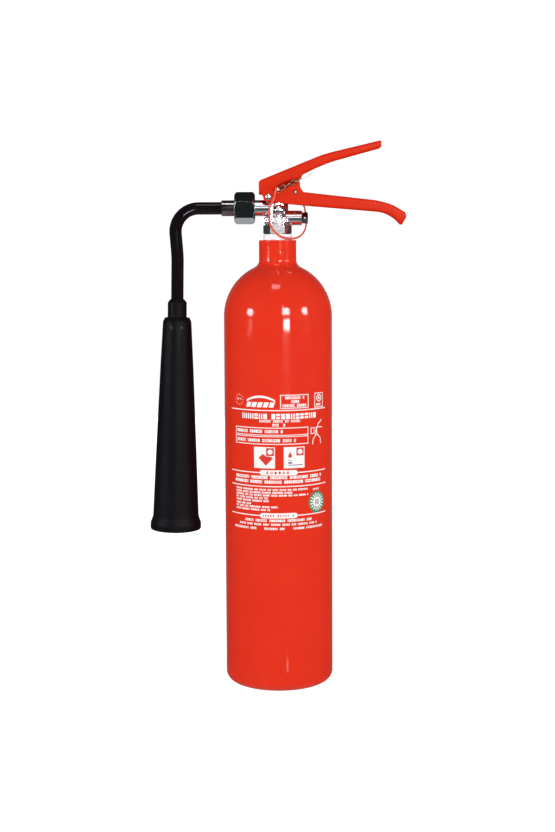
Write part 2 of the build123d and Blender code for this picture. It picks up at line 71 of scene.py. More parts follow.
# horn, z measured along its own axis from the lower end of the pipe
HORN_AT = (-100.7, 0.0, 372.0)
HORN_TILT = 0.98


# ---- mesh helpers -------------------------------------------------------------------------------
def rounded(corners, closed=True, step=6.0):
    """Points of an outline whose corners (a, b, radius) are turned into arcs."""
    line = []
    count = len(corners)
    for index, (a, b, radius) in enumerate(corners):
        here = Vector((a, b))
        ends_run = not closed and index in (0, count - 1)
        if radius <= 0 or ends_run:
            line.append((a, b))
            continue
        before = Vector(corners[index - 1][:2])
        after = Vector(corners[(index + 1) % count][:2])
        back = (before - here).normalized()
        ahead = (after - here).normalized()
        turn = math.pi - back.angle(ahead)
        reach = radius * math.tan(turn / 2)
        start = here + back * reach
        end = here + ahead * reach
        centre = here + (back + ahead).normalized() * (radius / math.cos(turn / 2))
        steps = max(2, round(math.degrees(turn) / step))
        for k in range(steps + 1):
            share = k / steps
            angle = turn * share
            away = (start - centre) * math.sin(turn - angle) + (end - centre) * math.sin(angle)
            point = centre + away / math.sin(turn)
            line.append((point.x, point.y))
    return line


def arc(a, b, radius, first, last, steps):
    """Points on an arc about (a, b), angles in degrees."""
    found = []
    for k in range(steps + 1):
        angle = math.radians(first + (last - first) * k / steps)
        found.append((a + radius * math.cos(angle), b + radius * math.sin(angle)))
    return found


def lathe(section, segments=96):
    """Closed solid turned about Z from a closed (radius, z) outline; radius 0 makes one point."""
    bm = bmesh.new()
    rings = []
    for radius, z in section:
        if radius < 1e-6:
            rings.append([bm.verts.new((0, 0, z * MM))] * segments)
            continue
        ring = []
        for k in range(segments):
            angle = 2 * math.pi * k / segments
            spot = (radius * math.cos(angle) * MM, radius * math.sin(angle) * MM, z * MM)
            ring.append(bm.verts.new(spot))
        rings.append(ring)
    for low, high in zip(rings, rings[1:] + rings[:1]):
        for k in range(segments):
            corners = [low[k], low[(k + 1) % segments], high[(k + 1) % segments], high[k]]
            face = list(dict.fromkeys(corners))
            if len(face) > 2:
                bm.faces.new(face)
    return bm


def sweep(path, section, up=(0, 1, 0)):
    """Solid of a closed (a, b) section carried along points, b along up at the start, all in mm."""
    bm = bmesh.new()
    points = [Vector(p) for p in path]
    side_up = Vector(up)
    rings = []
    for index, point in enumerate(points):
        before = points[max(index - 1, 0)]
        after = points[min(index + 1, len(points) - 1)]
        ahead = (after - before).normalized()
        side_up = (side_up - ahead * side_up.dot(ahead)).normalized()
        side = side_up.cross(ahead)
        rings.append([bm.verts.new((point + side * a + side_up * b) * MM) for a, b in section])
    sides = len(section)
    for low, high in zip(rings, rings[1:]):
        for k in range(sides):
            bm.faces.new([low[k], low[(k + 1) % sides], high[(k + 1) % sides], high[k]])
    bm.faces.new(rings[0])
    bm.faces.new(rings[-1])
    return bm


def smooth_path(points, steps=8):
    """Points on a smooth curve through the given ones."""
    known = [Vector(p) for p in points]
    known = [known[0] * 2 - known[1], *known, known[-1] * 2 - known[-2]]
    found = []
    for p0, p1, p2, p3 in zip(known, known[1:], known[2:], known[3:]):
        for k in range(steps):
            t = k / steps
            found.append(0.5 * (2 * p1 + (p2 - p0) * t + (2 * p0 - 5 * p1 + 4 * p2 - p3) * t * t
                                + (3 * p1 - p0 - 3 * p2 + p3) * t * t * t))
    found.append(known[-2])
    return found


def ellipse(half_a, half_b, sides):
    return [(half_a * math.cos(2 * math.pi * k / sides), half_b * math.sin(2 * math.pi * k / sides))
            for k in range(sides)]


def moved(bm, matrix):
    bmesh.ops.transform(bm, matrix=matrix, verts=bm.verts)
    return bm


def piece(name, bm, body, material, replaced=(), sharp=35.0):
    """Object made from a mesh, riding on a CAD body and standing for CAD nodes."""
    bmesh.ops.recalc_face_normals(bm, faces=bm.faces)
    mesh = bpy.data.meshes.new(name)
    bm.to_mesh(mesh)
    bm.free()
    if "custom_normal" in mesh.attributes:
        mesh.attributes.remove(mesh.attributes["custom_normal"])
    mesh.shade_smooth()
    mesh.set_sharp_from_angle(angle=math.radians(sharp))
    for one in material if isinstance(material, list) else [material]:
        mesh.materials.append(one)
    obj = bpy.data.objects.new(name, mesh)
    bpy.context.scene.collection.objects.link(obj)
    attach(obj, body)
    if replaced:
        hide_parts(*replaced)
    return obj


def softened(node, name, body, material, width, edge_material=-1):
    """Copy of a CAD node's mesh with its sharp edges rounded over by width millimetres."""
    bm = bmesh.new()
    bm.from_mesh(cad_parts[node].data)
    bmesh.ops.remove_doubles(bm, verts=bm.verts, dist=0.004 * MM)
    bmesh.ops.dissolve_limit(bm, angle_limit=math.radians(1.0), verts=bm.verts, edges=bm.edges)
    for face in bm.faces:
        face.material_index = 0
    limit = math.radians(25.0)
    edges = [e for e in bm.edges if len(e.link_faces) == 2 and e.calc_face_angle(0) > limit]
    bmesh.ops.bevel(bm, geom=edges, offset=width * MM, offset_type="OFFSET", segments=2, profile=0.5,
                    affect="EDGES", clamp_overlap=True, material=edge_material)
    obj = piece(name, bm, body, material, [node], sharp=50.0)
    obj.modifiers.new("flat_faces", "WEIGHTED_NORMAL").keep_sharp = True
    return obj


# ---- material helpers ---------------------------------------------------------------------------
class Finish:
    """A material whose nodes are added step by step round one Principled shader."""

    def __init__(self, name, **values):
        self.material = bpy.data.materials.new(name)
        self.material.use_nodes = True
        self.nodes = self.material.node_tree.nodes
        self.links = self.material.node_tree.links
        self.shader = self.nodes["Principled BSDF"]
        for key, value in values.items():
            self.shader.inputs[key.replace("_", " ")].default_value = value
        self.place = self.nodes.new("ShaderNodeTexCoord").outputs["Object"]

    def noise(self, size, detail=2.0, stretch=(1, 1, 1), rough=0.5):
        """Noise whose features are about size millimetres across, stretched along each axis."""
        mapping = self.nodes.new("ShaderNodeMapping")
        mapping.inputs["Scale"].default_value = [1 / (size * MM * s) for s in stretch]
        self.links.new(self.place, mapping.inputs["Vector"])
        noise = self.nodes.new("ShaderNodeTexNoise")
        noise.inputs["Scale"].default_value = 1.0
        noise.inputs["Detail"].default_value = detail
        noise.inputs["Roughness"].default_value = rough
        self.links.new(mapping.outputs["Vector"], noise.inputs["Vector"])
        return noise.outputs["Fac"]

    def spread(self, source, low, high, to_low=0.0, to_high=1.0):
        """A value stretched from one range to another, and held inside it."""
        node = self.nodes.new("ShaderNodeMapRange")
        ends = {"From Min": low, "From Max": high, "To Min": to_low, "To Max": to_high}
        for key, value in ends.items():
            node.inputs[key].default_value = value
        self.links.new(source, node.inputs["Value"])
        return node.outputs["Result"]

    def colours(self, source, first, second):
        """Base colour that varies between two colours."""
        mix = self.nodes.new("ShaderNodeMix")
        mix.data_type = "RGBA"
        mix.inputs["A"].default_value = (*first, 1)
        mix.inputs["B"].default_value = (*second, 1)
        self.links.new(source, mix.inputs["Factor"])
        self.links.new(mix.outputs["Result"], self.shader.inputs["Base Color"])

    def roughness(self, source, low, high):
        self.links.new(self.spread(source, 0.3, 0.7, low, high), self.shader.inputs["Roughness"])

    def bump(self, *layers):
        """Bump from (source, height in millimetres) layers, each on top of the last."""
        normal = None
        for source, height in layers:
            node = self.nodes.new("ShaderNodeBump")
            node.inputs["Distance"].default_value = height * MM
            node.inputs["Strength"].default_value = 1.0
            self.links.new(source, node.inputs["Height"])
            if normal is not None:
                self.links.new(normal, node.inputs["Normal"])
            normal = node.outputs["Normal"]
        self.links.new(normal, self.shader.inputs["Normal"])
        self.links.new(normal, self.shader.inputs["Coat Normal"])


# ---- materials ----------------------------------------------------------------------------------
def red_enamel():
    """Glossy red enamel: even colour, faint orange peel and slow waves in the coat."""
    finish = Finish("red_enamel", Roughness=0.4, Specular_IOR_Level=0.0, Coat_Weight=0.9,
                    Coat_Roughness=0.045, Coat_IOR=1.36)
    patches = finish.spread(finish.noise(45, 3), 0.3, 0.7)
    finish.colours(patches, (0.80, 0.037, 0.015), (0.78, 0.033, 0.013))
    finish.roughness(finish.noise(12), 0.26, 0.34)
    pimples = finish.spread(finish.noise(1.9, 1), 0.62, 0.72)
    finish.bump((finish.noise(16, 2), 0.015), (finish.noise(1.5, 2), 0.004), (pimples, 0.035))
    return finish.material


def red_handle():
    """The same enamel on pressed sheet, a little thinner and more uneven."""
    finish = Finish("red_handle_enamel", Roughness=0.4, Specular_IOR_Level=0.0, Coat_Weight=0.12,
                    Coat_Roughness=0.25, Coat_IOR=1.36)
    patches = finish.spread(finish.noise(14, 3), 0.3, 0.7)
    finish.colours(patches, (0.72, 0.026, 0.005), (0.69, 0.023, 0.004))
    finish.roughness(finish.noise(8), 0.28, 0.42)
    finish.bump((finish.noise(7, 2), 0.03), (finish.noise(1.1, 1), 0.008))
    return finish.material


def chrome():
    """Nickel chrome over a cast and machined body: soft ripples, fine turning marks, dull spots."""
    finish = Finish("valve_chrome", Metallic=1.0, Roughness=0.12)
    finish.colours(finish.spread(finish.noise(5, 3), 0.35, 0.65), (0.86, 0.85, 0.88), (0.74, 0.73, 0.78))
    finish.roughness(finish.noise(2.5, 3), 0.05, 0.18)
    finish.bump((finish.noise(3.2, 2), 0.018), (finish.noise(0.5, 1, (4, 4, 0.4)), 0.003))
    return finish.material


def nut_black():
    """Blackened steel with a fine satin grain."""
    finish = Finish("nut_black_oxide", Metallic=1.0, Roughness=0.3)
    finish.colours(finish.spread(finish.noise(3, 4), 0.3, 0.7), (0.13, 0.16, 0.17), (0.18, 0.20, 0.21))
    finish.roughness(finish.noise(1.5, 3), 0.1, 0.2)
    finish.bump((finish.noise(0.4, 2), 0.01))
    return finish.material


def nut_edge():
    """Rounded edges of the nut: light grey steel in patches among near black."""
    finish = Finish("nut_light_edge", Metallic=0.9, Roughness=0.3)
    dark_share = finish.spread(finish.noise(1.2, 4), 0.46, 0.66)
    # the light grey is laid on the bevel faces only, so the edges come out lighter than the flats
    finish.colours(dark_share, (0.62, 0.60, 0.60), (0.10, 0.10, 0.11))
    finish.bump((finish.noise(0.5, 2), 0.01))
    return finish.material


def pipe_black():
    """Gloss black lacquer on the bent pipe."""
    finish = Finish("pipe_black_gloss", Roughness=0.4, Specular_IOR_Level=0.0, Coat_Weight=0.5,
                    Coat_Roughness=0.08, Coat_IOR=1.4)
    patches = finish.spread(finish.noise(9, 3), 0.3, 0.7)
    finish.colours(patches, (0.005, 0.0035, 0.0055), (0.008, 0.005, 0.008))
    finish.roughness(finish.noise(6), 0.34, 0.46)
    finish.bump((finish.noise(6, 1), 0.02), (finish.noise(0.9, 1), 0.003))
    return finish.material


def ferrule_black():
    """Dark plated steel, brighter than the pipe."""
    finish = Finish("ferrule_dark_plate", Metallic=1.0, Roughness=0.14)
    finish.colours(finish.spread(finish.noise(3, 3), 0.3, 0.7), (0.17, 0.15, 0.155), (0.24, 0.21, 0.215))
    finish.roughness(finish.noise(1.4, 3), 0.1, 0.24)
    finish.bump((finish.noise(0.3, 1, (1, 8, 8)), 0.004))
    return finish.material


def horn_black():
    """Moulded black plastic with a fine grain and faint flow marks along its length."""
    finish = Finish("horn_black_plastic", Roughness=0.5, Specular_IOR_Level=0.07)
    finish.colours(finish.spread(finish.noise(30, 3, (1, 1, 3)), 0.3, 0.7), (0.0035, 0.0025, 0.0045),
                   (0.006, 0.004, 0.007))
    finish.roughness(finish.noise(14, 3, (1, 1, 4)), 0.44, 0.58)
    finish.bump((finish.noise(22, 1, (1, 1, 4)), 0.03), (finish.noise(0.45, 2), 0.008))
    return finish.material


def tape_white():
    """Soft white thread tape with wound layers."""
    finish = Finish("thread_tape_white", Roughness=0.6, Subsurface_Weight=0.15, Sheen_Weight=0.2)
    finish.colours(finish.spread(finish.noise(2.4, 3, (1, 1, 0.3)), 0.3, 0.7), (0.97, 0.97, 0.97),
                   (0.92, 0.92, 0.93))
    finish.bump((finish.noise(1.6, 3, (3, 3, 0.25)), 0.06))
    return finish.material


def strap_red():
    """Flexible moulded strap, slightly see-through at its edges."""
    finish = Finish("seal_strap_red", Roughness=0.5, Subsurface_Weight=0.15, Subsurface_Scale=0.001,
                    Specular_IOR_Level=0.15)
    finish.colours(finish.spread(finish.noise(6, 2), 0.3, 0.7), (0.84, 0.13, 0.07), (0.72, 0.07, 0.045))
    finish.bump((finish.noise(1.2, 2), 0.01))
    return finish.material


def bright_steel():
    """Bare steel wire and pins, drawn and lightly scratched."""
    finish = Finish("bright_steel", Metallic=1.0, Roughness=0.22)
    finish.colours(finish.spread(finish.noise(1.5, 4), 0.3, 0.7), (0.72, 0.70, 0.68), (0.50, 0.48, 0.46))
    finish.roughness(finish.noise(1.0, 3), 0.14, 0.34)
    finish.bump((finish.noise(0.25, 2, (1, 6, 1)), 0.004))
    return finish.material


def chain_steel():
    """Yellowed steel chain, with near-black patches mixed in at random as painted shade of the slot it
    lies in.
    """
    finish = Finish("chain_steel", Metallic=1.0, Roughness=0.25)
    dark_share = finish.spread(finish.noise(1.1, 3), 0.35, 0.65)
    # the near-black second colour is painted shade of the slot, not a colour of the chain
    finish.colours(dark_share, (0.52, 0.38, 0.25), (0.035, 0.025, 0.02))
    finish.roughness(finish.noise(1.0, 3), 0.16, 0.36)
    finish.bump((finish.noise(0.3, 2), 0.006))
    return finish.material


def plain(name, first, second, metallic, rough, grain, height):
    """Small parts: two close colours, uneven gloss and a fine grain."""
    finish = Finish(name, Metallic=metallic, Roughness=rough)
    finish.colours(finish.spread(finish.noise(grain * 5, 3), 0.3, 0.7), first, second)
    finish.roughness(finish.noise(grain * 3, 2), rough * 0.8, rough * 1.25)
    finish.bump((finish.noise(grain, 2), height))
    return finish.material


def ink(name, first, second):
    """Screen-printed ink, a little thinner in places."""
    finish = Finish(name, Roughness=0.4, Specular_IOR_Level=0.3)
    finish.colours(finish.spread(finish.noise(1.3, 4, rough=0.7), 0.45, 0.75), first, second)
    finish.bump((finish.noise(0.5, 2), 0.004))
    return finish.material


RED = red_enamel()
RED_HANDLE = red_handle()
CHROME = chrome()
NUT = nut_black()
NUT_EDGE = nut_edge()
PIPE = pipe_black()
FERRULE = ferrule_black()
HORN = horn_black()
TAPE = tape_white()
STRAP = strap_red()
STEEL = bright_steel()
CHAIN = chain_steel()
BRASS = plain("brass", (0.78, 0.55, 0.24), (0.66, 0.44, 0.18), 1.0, 0.25, 0.4, 0.005)
DARK_STEEL = plain("dark_steel", (0.04, 0.04, 0.045), (0.02, 0.02, 0.025), 0.8, 0.35, 0.3, 0.01)
PIN_STEEL = plain("pin_steel", (0.56, 0.47, 0.38), (0.42, 0.35, 0.28), 1.0, 0.35, 0.3, 0.006)
DARK_CHROME = plain("plug_dark_chrome", (0.16, 0.16, 0.18), (0.10, 0.10, 0.12), 1.0, 0.12, 0.6, 0.004)
RUBBER = plain("rubber", (0.02, 0.02, 0.02), (0.03, 0.03, 0.03), 0.0, 0.6, 0.5, 0.02)
NYLON = plain("nylon", (0.72, 0.70, 0.64), (0.66, 0.64, 0.58), 0.0, 0.4, 0.6, 0.01)
ALUMINIUM = plain("aluminium", (0.80, 0.80, 0.81), (0.72, 0.72, 0.74), 1.0, 0.3, 0.3, 0.004)
WHITE_INK = ink("white_ink", (0.95, 0.94, 0.93), (0.93, 0.82, 0.79))
GREEN_INK = ink("green_ink", (0.02, 0.26, 0.12), (0.03, 0.30, 0.15))
DARK_INK = ink("dark_ink", (0.02, 0.02, 0.025), (0.04, 0.03, 0.035))
RED_INK = ink("red_ink", (0.72, 0.03, 0.02), (0.66, 0.025, 0.018))


# ---- cylinder, horn, pipe -----------------------------------------------------------------------
def cylinder():
    """Steel shell as one closed turned solid, inside wall included."""
    foot_in = CYL_R - BASE_ROUND - FOOT_FLAT
    dish_r = (foot_in ** 2 + DISH_RISE ** 2) / (2 * DISH_RISE)
    dish_z = DISH_RISE - dish_r
    dish_end = math.degrees(math.asin(foot_in / dish_r))
    inner_r = CYL_R - CYL_WALL
    fillet_r = NECK_R + NECK_FILLET
    fillet_z = SHOULDER_Z + math.sqrt((CYL_R + NECK_FILLET) ** 2 - fillet_r ** 2)
    lean = math.degrees(math.atan2(fillet_z - SHOULDER_Z, fillet_r))
    bore_lean = math.degrees(math.acos(NECK_BORE_R / inner_r))
    edge = 0.4
    wall = SHOULDER_Z - BASE_ROUND
    wall_steps = 24
    section = [(0, DISH_RISE)]
    section += arc(0, dish_z, dish_r, 90 - dish_end / 12, 90 - dish_end, 11)
    section += [(foot_in + FOOT_FLAT, 0)]
    section += arc(CYL_R - BASE_ROUND, BASE_ROUND, BASE_ROUND, -80, 0, 8)
    section += [(CYL_R, BASE_ROUND + wall * k / wall_steps) for k in range(1, wall_steps)]
    section += arc(0, SHOULDER_Z, CYL_R, 0, lean, 30)
    section += arc(fillet_r, fillet_z, NECK_FILLET, 180 + lean, 180, 10)[1:]
    section += [(NECK_R, NECK_TOP - edge), (NECK_R - edge, NECK_TOP), (NECK_BORE_R, NECK_TOP)]
    section += arc(0, SHOULDER_Z, inner_r, bore_lean, 0, 16)
    section += arc(CYL_R - BASE_ROUND, BASE_ROUND, BASE_ROUND - CYL_WALL, 0, -80, 6)
    section += arc(0, dish_z, dish_r + CYL_WALL, 90 - dish_end + 1.5, 90 - dish_end / 10, 9)
    section += [(0, DISH_RISE + CYL_WALL)]
    piece("cylinder", lathe(section, 192), "extinguisher", RED, ["cylinder_shell"])


def horn():
    """Moulded cone with a rounded shoulder, a rolled lip and a faint gate mark near the mouth."""
    wall = 2.2
    outer = [(14.2, -8.2, 3.0), (16.4, -50.8, 80), (20.0, -131.7, 300), (23.0, -204.5, 6.0)]
    inner = [(23.0 - wall, -202.0, 2.0), (20.0 - wall, -131.7, 0), (16.4 - wall, -50.8, 0),
             (12.2, -28.0, 1.0)]
    section = [(9.55, -4.0, 0), (12.2, -4.0, 2.0), *outer, (25.5, -211.6, 1.4), (25.5, -217.6, 1.6),
               (22.0, -218.4, 1.2), *inner, (11.55, -24.0, 0), (11.55, -6.0, 0), (9.55, -6.0, 0)]
    place = Matrix.Translation(Vector(HORN_AT) * MM) @ Matrix.Rotation(math.radians(HORN_TILT), 4, "Y")
    body = lathe(rounded(section), 128)
    gate = sweep([(0, -22.55, -201.5), (0, -22.75, -207.5)], ellipse(0.35, 0.3, 10))
    gate_at = Matrix.Rotation(math.radians(10), 4, "Z")
    piece("horn", moved(body, place), "hose_assembly", HORN, ["discharge_horn"])
    piece("horn_gate_mark", moved(gate, place @ gate_at), "hose_assembly", HORN)


def pipe():
    """Bent pipe with its bore."""
    sides = 56
    centre = [(x, 0, z) for x, z in rounded(PIPE_ROUTE, closed=False, step=3.0)]
    bm = bmesh.new()
    shells = []
    for radius in (PIPE_R, PIPE_BORE_R):
        tube = sweep(centre, ellipse(radius, radius, sides))
        mesh = bpy.data.meshes.new("tube")
        tube.to_mesh(mesh)
        tube.free()
        shells.append(mesh)
        bm.from_mesh(mesh)
    ends = [f for f in bm.faces if len(f.verts) > 4]
    outer_start, outer_end, bore_start, bore_end = (list(face.edges) for face in ends)
    bmesh.ops.delete(bm, geom=ends, context="FACES_ONLY")
    bmesh.ops.bridge_loops(bm, edges=outer_start + bore_start)
    bmesh.ops.bridge_loops(bm, edges=outer_end + bore_end)
    for mesh in shells:
        bpy.data.meshes.remove(mesh)
    piece("pipe", bm, "hose_assembly", PIPE, ["discharge_pipe"])


def collar():
    """Grip between pipe and horn, with a soft shoulder at its top."""
    neck = PIPE_R + 0.7
    section = [(PIPE_R, 14.2, 0), (neck, 14.2, 0.3), (9.5, 10.9, 1.0), (9.5, -6.0, 0), (11.5, -6.0, 0),
               (11.5, -24.0, 0), (4.0, -24.0, 0), (4.0, 0.0, 0), (PIPE_R, 0.0, 0)]
    place = Matrix.Translation(Vector(HORN_AT) * MM) @ Matrix.Rotation(math.radians(HORN_TILT), 4, "Y")
    piece("horn_grip", moved(lathe(rounded(section), 96), place), "hose_assembly", HORN,
          ["horn_collar"])


# ---- valve, handle, small parts -----------------------------------------------------------------
def thread_tape():
    """Wound tape that bulges a little over the thread, with its layers stepped."""
    section = [(14.0, NECK_TOP, 0)]
    layers = 7
    depth = (FLANGE_FOOT - NECK_TOP) / layers
    for k in range(layers):
        low = NECK_TOP + k * depth
        out = 14.42 + 0.08 * (k % 2)
        section += [(out - 0.12, low + 0.02, 0), (out, low + depth * 0.35, 0.2)]
        section += [(out - 0.05, low + depth * 0.9, 0)]
    section += [(14.0, FLANGE_FOOT, 0)]
    piece("thread_tape", lathe(rounded(section), 96), "extinguisher", TAPE, ["ptfe_tape"])


def seal_strap():
    """Moulded strap, oval in section."""
    route = [
        (-0.6, -12.0, 495.3), (-1.2, -14.9, 494.6), (-3.0, -15.0, 486.8), (-6.4, -15.4, 478.8),
        (-8.0, -16.0, 471.3), (-7.8, -16.4, 463.6), (-4.6, -16.8, 454.9), (2.4, -16.3, 448.6),
        (10.6, -13.2, 446.2), (18.4, -7.6, 446.6), (24.2, -2.6, 449.9), (27.8, 2.4, 455.9),
        (28.8, 6.8, 463.2), (28.3, 8.6, 470.6), (26.6, 7.0, 478.2), (23.6, 4.4, 484.2),
    ]
    strap = sweep(smooth_path(route), ellipse(0.85, 1.1, 20), up=(1, 0, 0))
    piece("seal_strap", strap, "extinguisher", STRAP, ["tamper_seal"])


def soften_metal_parts():
    """Handle, lever, nut, plug and valve with their sharp edges rounded over."""
    softened("carrying_handle", "handle", "extinguisher", RED_HANDLE, 0.35)
    softened("squeeze_lever", "lever", "lever", RED_HANDLE, 0.35)
    softened("union_nut", "coupling_nut", "extinguisher", [NUT, NUT_EDGE], 0.55,
             edge_material=1)
    softened("burst_plug", "safety_plug", "extinguisher", DARK_CHROME, 0.2)
    softened("valve_body", "valve", "extinguisher", CHROME, 0.25)


def knurl():
    """Ring of fine upright ribs round the middle of the valve."""
    ribs = 48
    half_width, half_depth = 0.5, 0.45
    upright = [(KNURL_R, 0, z) for z in KNURL_Z]
    bm = bmesh.new()
    for k in range(ribs):
        turn = Matrix.Rotation(2 * math.pi * k / ribs, 4, "Z")
        rib = sweep(upright, ellipse(half_width, half_depth, 12), up=(1, 0, 0))
        mesh = bpy.data.meshes.new("rib")
        moved(rib, turn).to_mesh(mesh)
        rib.free()
        bm.from_mesh(mesh)
        bpy.data.meshes.remove(mesh)
    piece("valve_knurl", bm, "extinguisher", CHROME)


KEPT = {
    "dip_tube": ALUMINIUM, "dip_tube_nut": BRASS, "valve_seat": NYLON,
    "stem_o_ring": RUBBER, "gland_nut": BRASS, "burst_disc": ALUMINIUM, "burst_washer": RUBBER,
    "pivot_rivet": STEEL, "seal_wire": PIN_STEEL, "pin_chain": CHAIN, "outlet_seal_ring": NYLON,
    "valve_stem": STEEL, "valve_poppet": BRASS, "return_spring": STEEL, "lever_pad": RED_HANDLE,
    "safety_pin": PIN_STEEL, "pull_ring": STEEL, "pipe_ferrule": FERRULE, "jet_nozzle": BRASS,
    "horn_screws": DARK_STEEL,
}


def paint_kept_nodes():
    """Better materials for the CAD nodes whose shape is already right."""
    for node, material in KEPT.items():
        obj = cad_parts[node]
        for held in obj.material_slots:
            held.material = material


# ---- label --------------------------------------------------------------------------------------
class Art:
    """Flat artwork in millimetres: s round the cylinder from the front's middle, z up the cylinder."""

    def __init__(self):
        self.bm = bmesh.new()

    def shape(self, points):
        self.bm.faces.new([self.bm.verts.new((s, z, 0)) for s, z in points])

    def bar(self, left, right, low, high):
        self.shape([(left, low), (right, low), (right, high), (left, high)])

    def disc(self, s, z, radius, sides=28):
        self.shape([(s + a, z + b) for a, b in ellipse(radius, radius, sides)])

    def band(self, inner, outer):
        """Faces between two closed outlines with the same number of points."""
        count = len(inner)
        for k in range(count):
            n = (k + 1) % count
            self.shape([inner[k], inner[n], outer[n], outer[k]])

    def ring(self, s, z, radius, width, sides=40):
        rims = [[(s + a, z + b) for a, b in ellipse(r, r, sides)] for r in (radius - width, radius)]
        self.band(*rims)

    def frame(self, left, right, low, high, width):
        outer = [(left, low), (right, low), (right, high), (left, high)]
        inner = [(left + width, low + width), (right - width, low + width),
                 (right - width, high - width), (left + width, high - width)]
        self.band(inner, outer)

    def pill(self, left, right, low, high):
        radius = (high - low) / 2
        middle = low + radius
        self.shape(arc(right - radius, middle, radius, -90, 90, 10)
                   + arc(left + radius, middle, radius, 90, 270, 10))

    def stroke(self, points, width):
        """Line of even width through points, mitred at its corners."""
        line = [Vector(p) for p in points]
        sides = []
        for index, here in enumerate(line):
            before = line[max(index - 1, 0)]
            after = line[min(index + 1, len(line) - 1)]
            first = (here - before).normalized() if here != before else (after - here).normalized()
            second = (after - here).normalized() if here != after else first
            lean = (first + second).normalized()
            across = Vector((-lean.y, lean.x)) * (width / 2 / max(lean.dot(first), 0.5))
            sides.append(((here + across)[:], (here - across)[:]))
        for (a, b), (c, d) in zip(sides, sides[1:]):
            self.shape([a, b, d, c])

    def blocks(self, left, right, z, height, seed, word=(3, 9), slim=0.62, fill=0.72):
        """A line of writing stood in for by plain blocks, grouped like words, that spell nothing."""
        draw = random.Random(seed)
        pitch = height * slim / fill
        count = max(1, round((right - left) / pitch))
        pitch = (right - left) / count
        left_in_word = draw.randint(*word)
        for k in range(count):
            if left_in_word == 0:
                left_in_word = draw.randint(*word)
                continue
            left_in_word -= 1
            start = left + k * pitch
            end = start + pitch * fill
            low = z - height / 2
            kind = draw.random()
            if kind < 0.45:
                self.bar(start, end, low, low + height)
            elif kind < 0.75:
                self.bar(start, end, low, low + height * 0.42)
                self.bar(start, end, low + height * 0.58, low + height)
            else:
                self.bar(start, start + pitch * fill * 0.36, low, low + height)
                self.bar(end - pitch * fill * 0.36, end, low, low + height)

    def wrapped(self, name, material, lift, replaced=()):
        """Bends the artwork round the cylinder, as a thin skin of ink that stands out by lift."""
        step = 1.5
        lines = int(LABEL_HALF // step)
        for k in range(-lines, lines + 1):
            everything = self.bm.verts[:] + self.bm.edges[:] + self.bm.faces[:]
            bmesh.ops.bisect_plane(self.bm, geom=everything, dist=1e-5, plane_co=(k * step, 0, 0),
                                   plane_no=(1, 0, 0))
        made = bmesh.ops.extrude_face_region(self.bm, geom=self.bm.faces[:])
        backs = {v for v in made["geom"] if isinstance(v, bmesh.types.BMVert)}
        for vert in self.bm.verts:
            radius = CYL_R + (lift if vert in backs else lift - INK_THICK)
            angle = FRONT + vert.co.x / CYL_R
            vert.co = Vector((radius * math.cos(angle), radius * math.sin(angle), vert.co.y)) * MM
        piece(name, self.bm, "extinguisher", material, replaced, sharp=60.0)


LABEL_HALF = 62.0             # half width of the printed sheet, along the wall
INK_THICK = 0.03
RULES = (280.0, 219.0, 205.5, 176.7)      # heights of the long rules
RULE_HALF = 54.8
PILL_HALF = 18.2


def label_heading(white):
    """Row of emblems over the first rule, the title and its two short lines."""
    for k in range(12):
        angle = math.radians(30 * k)
        white.disc(-42.4 + 5.0 * math.cos(angle), 289.6 + 5.0 * math.sin(angle), 0.42, 10)
    white.blocks(-45.0, -39.6, 290.2, 1.5, 3, (2, 3))
    arch_out = arc(-18.0, 268.0, 26.5, 124, 56, 24)
    arch_in = arc(-18.0, 262.6, 29.6, 60, 120, 24)
    white.shape(arch_out + arch_in)
    for k in range(5):
        left = -33.6 + 6.0 * k
        white.shape([(left, 283.0), (left + 4.7, 283.0), (left + 6.5, 288.0), (left + 1.8, 288.0)])
    white.frame(1.7, 31.0, 281.8, 295.3, 0.8)
    for z, left, right, seed in ((292.3, 6.5, 26.5, 5), (288.5, 12.5, 21.0, 6), (284.7, 4.0, 28.8, 7)):
        white.blocks(left, right, z, 2.7, seed, (4, 8), fill=0.8)
    white.frame(38.4, 50.6, 281.2, 295.7, 0.8)
    white.ring(44.5, 290.4, 3.6, 1.1, 24)
    white.disc(44.5, 290.4, 1.3, 16)
    white.blocks(40.6, 48.6, 284.2, 2.2, 8, (4, 5), fill=0.8)
    white.blocks(-38.4, -10.2, 274.2, 5.3, 11, (6, 6), slim=0.7, fill=0.8)
    white.blocks(-7.0, 41.0, 274.2, 5.3, 12, (14, 14), slim=0.7, fill=0.8)
    white.blocks(-19.0, 22.0, 269.6, 2.5, 13, (2, 12), fill=0.78)
    white.blocks(-6.0, 0.6, 265.8, 2.9, 14, (3, 3), fill=0.78)
    white.blocks(4.6, 7.0, 265.8, 2.9, 15, (1, 1), fill=0.78)


def label_steps(white):
    """Framed box with two rows of instructions, and a line drawing beside it."""
    white.frame(-47.6, 30.6, 246.6, 263.3, 0.8)
    for z in (254.4, 255.9):
        white.bar(-46.8, 29.8, z - 0.35, z + 0.35)
    white.blocks(-45.2, 4.5, 259.5, 3.0, 21, (5, 8), fill=0.82)
    white.blocks(-45.2, 17.5, 250.6, 3.0, 22, (4, 8), fill=0.82)
    white.frame(33.6, 38.2, 255.6, 262.0, 0.8)
    white.stroke([(39.6, 253.5), (40.6, 260.5), (44.0, 265.6), (48.4, 268.8)], 1.0)
    white.stroke([(39.6, 261.5), (44.0, 261.9), (49.4, 261.4)], 0.8)
    white.stroke([(41.2, 261.0), (41.6, 255.4), (36.6, 250.6), (35.8, 245.2)], 0.9)
    white.stroke([(41.6, 255.4), (46.4, 250.8), (47.0, 245.2)], 0.9)


